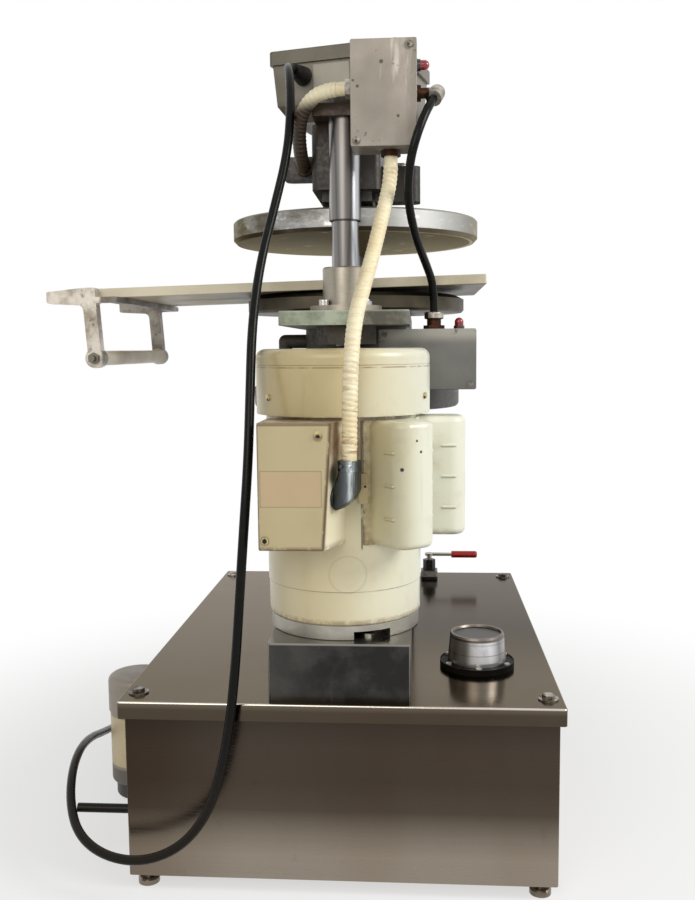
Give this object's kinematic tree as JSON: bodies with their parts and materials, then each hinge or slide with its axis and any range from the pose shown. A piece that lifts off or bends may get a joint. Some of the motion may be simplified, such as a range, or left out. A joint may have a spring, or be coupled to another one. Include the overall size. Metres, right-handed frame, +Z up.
{
  "type": "hydraulic tart press",
  "caption": "Free-standing electric hydraulic press with an oil tank base, upright motor, ram-lifted table, sliding die board with a handle and a heated upper platen.",
  "frame": {"origin": "on the floor under the centre of the tank, midway between the four feet", "axes": "+Z up, +Y towards the operator, +X to the right as seen from the motor side"},
  "size_m": [0.783, 0.837, 1.226],
  "materials": {
    "stainless": "brushed",
    "cream_enamel": "semi-gloss enamel, stained",
    "chrome_steel": "polished",
    "steel": "machined",
    "cast_grey": "painted casting",
    "aluminium": "worn",
    "bed_paint": "weathered",
    "grey_enamel": "hammered enamel",
    "black_rubber": "satin",
    "ivory_conduit": "matte",
    "ivory_board": "matte",
    "red_plastic": "gloss",
    "red_glass": "gloss",
    "black_plastic": "satin",
    "filter_paint": "satin",
    "insulator": "matte"
  },
  "bodies": {
    "base": {"tank_body": "stainless", "tank_lid": "stainless", "motor_riser": "stainless", "motor_endshield": "cream_enamel", "motor_frame": "cream_enamel", "fan_cover": "cream_enamel", "conduit_box": "cream_enamel", "conduit_box_cover": "cream_enamel", "capacitor_covers": "cream_enamel", "guide_posts": "chrome_steel", "collar_screws": "chrome_steel", "post_collars": "steel", "motor_bearings": "steel", "hex_bolts": "steel", "cover_screws": "steel", "cord_clip": "steel", "pedestal": "cast_grey", "cylinder_barrel": "cast_grey", "head_casting": "cast_grey", "post_nuts": "cast_grey", "motor_stator": "cast_grey", "gear_pump": "cast_grey", "valve_body": "cast_grey", "pump_adapter": "aluminium", "upper_platen": "aluminium", "conduit_elbow": "aluminium", "cord_fittings": "aluminium", "bed_plate": "bed_paint", "upper_box": "grey_enamel", "lower_box": "grey_enamel", "junction_box_covers": "grey_enamel", "control_box": "grey_enamel", "control_box_lid": "grey_enamel", "power_cord": "black_rubber", "link_cord": "black_rubber", "cord_coil": "black_rubber", "cord_plug": "black_rubber", "pressure_hose": "black_rubber", "tank_feet": "black_rubber", "breather_flange": "black_rubber", "long_conduit": "ivory_conduit", "short_conduit": "ivory_conduit", "pilot_lamps": "red_glass", "capacitors": "black_plastic", "filter_head": "filter_paint", "filter_can": "filter_paint", "platen_insulator": "insulator"},
    "press_table": {"ram": "steel", "lower_platen": "aluminium"},
    "board": {"die_board": "ivory_board", "handle_frame": "aluminium", "handle_rod": "steel"},
    "grip": {"handle_grip": "ivory_board"},
    "valve_handle": {"valve_lever": "steel", "lever_grip": "red_plastic"},
    "breather": {"breather_cap": "aluminium"},
    "motor_shaft": {"motor_rotor": "steel", "cooling_fan": "black_plastic"},
    "knob": {"temperature_knob": "black_plastic"},
    "button": {"start_button": "red_plastic"}
  },
  "joints": [
    {"name": "ram_lift", "type": "slide", "parent": "base", "child": "press_table", "axis": [0, 0, 1], "range_m": [0, 0.06]},
    {"name": "board_slide", "type": "slide", "parent": "press_table", "child": "board", "axis": [0.9997, 0, 0.0237], "range_m": [0, 0.165]},
    {"name": "grip_spin", "type": "hinge", "parent": "board", "child": "grip", "pos_m": [-0.40311, 0.06, 0.73891], "axis": [0, 1, 0], "continuous": true},
    {"name": "lever_turn", "type": "hinge", "parent": "base", "child": "valve_handle", "pos_m": [0.131, 0.345, 0.3185], "axis": [0, 0, 1], "range_deg": [0, 90]},
    {"name": "breather_twist", "type": "hinge", "parent": "base", "child": "breather", "pos_m": [0.196, -0.215, 0.3], "axis": [0, 0, 1], "range_deg": [0, 60]},
    {"name": "motor_spin", "type": "hinge", "parent": "base", "child": "motor_shaft", "pos_m": [0, -0.256, 0.55], "axis": [0, 0, 1], "continuous": true},
    {"name": "knob_turn", "type": "hinge", "parent": "base", "child": "knob", "pos_m": [-0.01828, 0.12563, 1.17], "axis": [0.2588, 0.9659, 0], "range_deg": [0, 270]},
    {"name": "button_press", "type": "slide", "parent": "base", "child": "button", "axis": [-0.2588, -0.9659, 0], "range_m": [0, 0.004], "stiffness_N_per_m": 400, "springref_m": -0.002}
  ]
}
